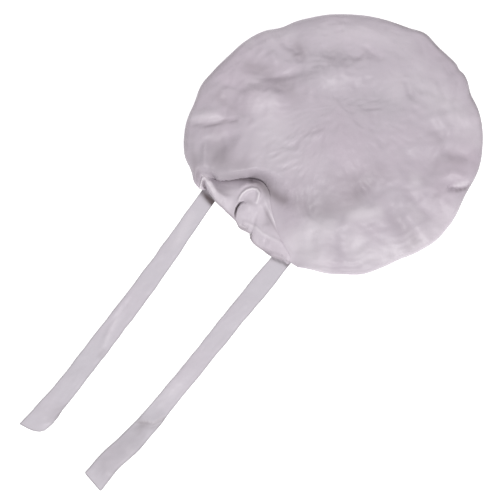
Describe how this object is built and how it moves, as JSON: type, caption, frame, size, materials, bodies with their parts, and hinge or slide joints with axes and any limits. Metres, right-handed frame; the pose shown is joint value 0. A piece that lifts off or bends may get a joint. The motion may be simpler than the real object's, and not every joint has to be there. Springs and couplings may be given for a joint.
{
  "type": "sleep bonnet",
  "caption": "Satin sleep bonnet lying flat: full round crown turned under to a gathered mouth, gathered nape casing, flat front band and long ties.",
  "frame": {"origin": "on the surface that the bonnet lies on, under the middle of its bounding box, ties included", "axes": "+Z up out of the surface; seen from above with +Y up, the ties run down and to the left from the crown"},
  "size_m": [0.5348, 0.55, 0.0397],
  "materials": {
    "crown_satin": "smooth mauve grey satin with soft creases and a low sheen",
    "casing_satin": "the same satin gathered on a flat elastic",
    "band_satin": "the same satin, doubled and pressed flat",
    "tie_satin": "the same satin, folded and stitched into a flat strap"
  },
  "bodies": {
    "root": {"crown": "crown_satin", "nape_casing": "casing_satin", "front_band": "band_satin", "tie_left": "tie_satin", "tie_right": "tie_satin"}
  },
  "joints": []
}
